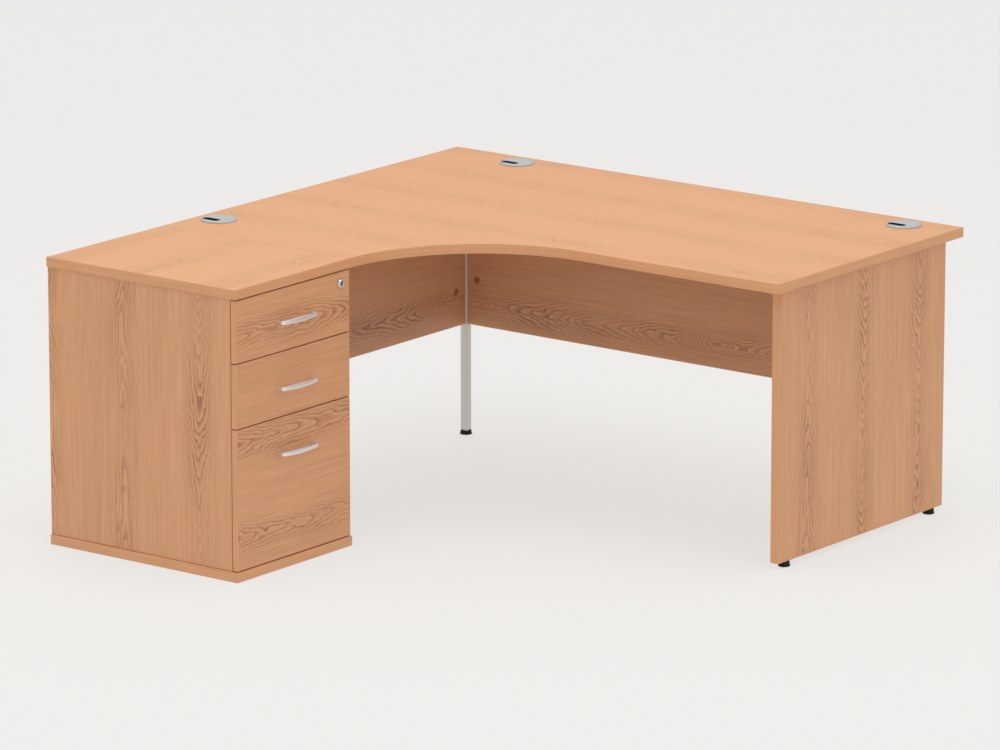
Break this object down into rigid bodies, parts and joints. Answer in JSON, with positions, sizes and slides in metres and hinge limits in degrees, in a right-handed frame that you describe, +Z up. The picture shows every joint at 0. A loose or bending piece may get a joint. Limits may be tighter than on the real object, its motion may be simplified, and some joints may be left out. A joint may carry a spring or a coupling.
{
  "type": "corner desk",
  "caption": "Corner desk with a crescent worktop, cable grommets, panel ends, a corner leg and modesty panels, joined to a desk-high drawer pedestal.",
  "frame": {"origin": "on the floor, under the middle of the whole footprint", "axes": "+Z up; +X along the main wing, from the corner to the right-hand panel end, which is also the way the drawers open; +Y from the pedestal to the back edge"},
  "size_m": [1.6, 1.645, 0.7332],
  "materials": {
    "beech_top": "satin melamine with a printed beech grain, the grain along each top",
    "beech_board": "satin melamine with a printed beech grain and a matching thick edge band",
    "grey_plastic": "silver-grey moulded plastic",
    "black_plastic": "black moulded plastic",
    "silver_paint": "silver-grey powder coat",
    "zinc_steel": "bright zinc plate",
    "satin_nickel": "satin nickel plate",
    "chrome": "polished chrome plate",
    "grey_tray": "fine grey powder coat"
  },
  "bodies": {
    "desk": {"bracket_return_back": "zinc_steel", "bracket_return_front": "zinc_steel", "bracket_right_back": "zinc_steel", "bracket_right_front": "zinc_steel", "corner_leg": "silver_paint", "desk_top": "beech_top", "grommet_liner_corner": "grey_plastic", "grommet_liner_return": "grey_plastic", "grommet_liner_right": "grey_plastic", "leg_top_plate": "silver_paint", "link_bolt_back": "zinc_steel", "link_bolt_front": "zinc_steel", "link_spacer_back": "black_plastic", "link_spacer_front": "black_plastic", "lock_strike": "zinc_steel", "modesty_panel_main": "beech_board", "modesty_panel_return": "beech_board", "pedestal_back": "beech_board", "pedestal_base": "beech_board", "pedestal_side_inner": "beech_board", "pedestal_side_outer": "beech_board", "pedestal_top": "beech_top", "return_panel_end": "beech_board", "right_panel_end": "beech_board", "runner_filing_inner_cabinet": "zinc_steel", "runner_filing_outer_cabinet": "zinc_steel", "runner_middle_inner_cabinet": "zinc_steel", "runner_middle_outer_cabinet": "zinc_steel", "runner_top_inner_cabinet": "zinc_steel", "runner_top_outer_cabinet": "zinc_steel"},
    "drawer_top": {"drawer_front_top": "beech_board", "drawer_tray_top": "grey_tray", "handle_top": "satin_nickel", "lock_housing": "chrome", "runner_top_inner_drawer": "zinc_steel", "runner_top_outer_drawer": "zinc_steel"},
    "drawer_middle": {"drawer_front_middle": "beech_board", "drawer_tray_middle": "grey_tray", "handle_middle": "satin_nickel", "runner_middle_inner_drawer": "zinc_steel", "runner_middle_outer_drawer": "zinc_steel"},
    "drawer_filing": {"drawer_front_filing": "beech_board", "drawer_tray_filing": "grey_tray", "handle_filing": "satin_nickel", "runner_filing_inner_drawer": "zinc_steel", "runner_filing_outer_drawer": "zinc_steel"},
    "filing_runner_middles": {"runner_filing_inner_middle": "zinc_steel", "runner_filing_outer_middle": "zinc_steel"},
    "lock": {"lock_barrel": "satin_nickel", "lock_cam": "zinc_steel"},
    "lid_return": {"grommet_lid_return": "grey_plastic"},
    "lid_corner": {"grommet_lid_corner": "grey_plastic"},
    "lid_right": {"grommet_lid_right": "grey_plastic"},
    "right_foot_front": {"right_foot_front": "black_plastic"},
    "right_foot_back": {"right_foot_back": "black_plastic"},
    "return_foot_front": {"return_foot_front": "black_plastic"},
    "return_foot_back": {"return_foot_back": "black_plastic"},
    "leg_foot": {"leg_foot": "black_plastic"}
  },
  "joints": [
    {"name": "drawer_top_slide", "type": "slide", "parent": "desk", "child": "drawer_top", "axis": [1, 0, 0], "range_m": [0, 0.375]},
    {"name": "drawer_middle_slide", "type": "slide", "parent": "desk", "child": "drawer_middle", "axis": [1, 0, 0], "range_m": [0, 0.375]},
    {"name": "drawer_filing_slide", "type": "slide", "parent": "desk", "child": "drawer_filing", "axis": [1, 0, 0], "range_m": [0, 0.5]},
    {"name": "filing_middles_slide", "type": "slide", "parent": "desk", "child": "filing_runner_middles", "axis": [1, 0, 0], "range_m": [0, 0.25]},
    {"name": "lock_turn", "type": "hinge", "parent": "drawer_top", "child": "lock", "pos_m": [-0.202, -0.4175, 0.673], "axis": [-1, 0, 0], "range_deg": [0, 90]},
    {"name": "lid_return_turn", "type": "hinge", "parent": "desk", "child": "lid_return", "pos_m": [-0.732, -0.2425, 0.731], "axis": [0, 0, 1], "continuous": true},
    {"name": "lid_corner_turn", "type": "hinge", "parent": "desk", "child": "lid_corner", "pos_m": [-0.551, 0.7535, 0.731], "axis": [0, 0, 1], "continuous": true},
    {"name": "lid_right_turn", "type": "hinge", "parent": "desk", "child": "lid_right", "pos_m": [0.666, 0.7545, 0.731], "axis": [0, 0, 1], "continuous": true},
    {"name": "right_foot_front_turn", "type": "hinge", "parent": "desk", "child": "right_foot_front", "pos_m": [0.759, 0.1165, 0], "axis": [0, 0, 1], "continuous": true},
    {"name": "right_foot_back_turn", "type": "hinge", "parent": "desk", "child": "right_foot_back", "pos_m": [0.759, 0.7455, 0], "axis": [0, 0, 1], "continuous": true},
    {"name": "return_foot_front_turn", "type": "hinge", "parent": "desk", "child": "return_foot_front", "pos_m": [-0.294, -0.3365, 0], "axis": [0, 0, 1], "continuous": true},
    {"name": "return_foot_back_turn", "type": "hinge", "parent": "desk", "child": "return_foot_back", "pos_m": [-0.723, -0.3365, 0], "axis": [0, 0, 1], "continuous": true},
    {"name": "leg_foot_turn", "type": "hinge", "parent": "desk", "child": "leg_foot", "pos_m": [-0.6625, 0.68, 0], "axis": [0, 0, 1], "continuous": true}
  ],
  "couplings": [
    {"joint": "filing_middles_slide", "follows": "drawer_filing_slide", "ratio": 0.5}
  ]
}
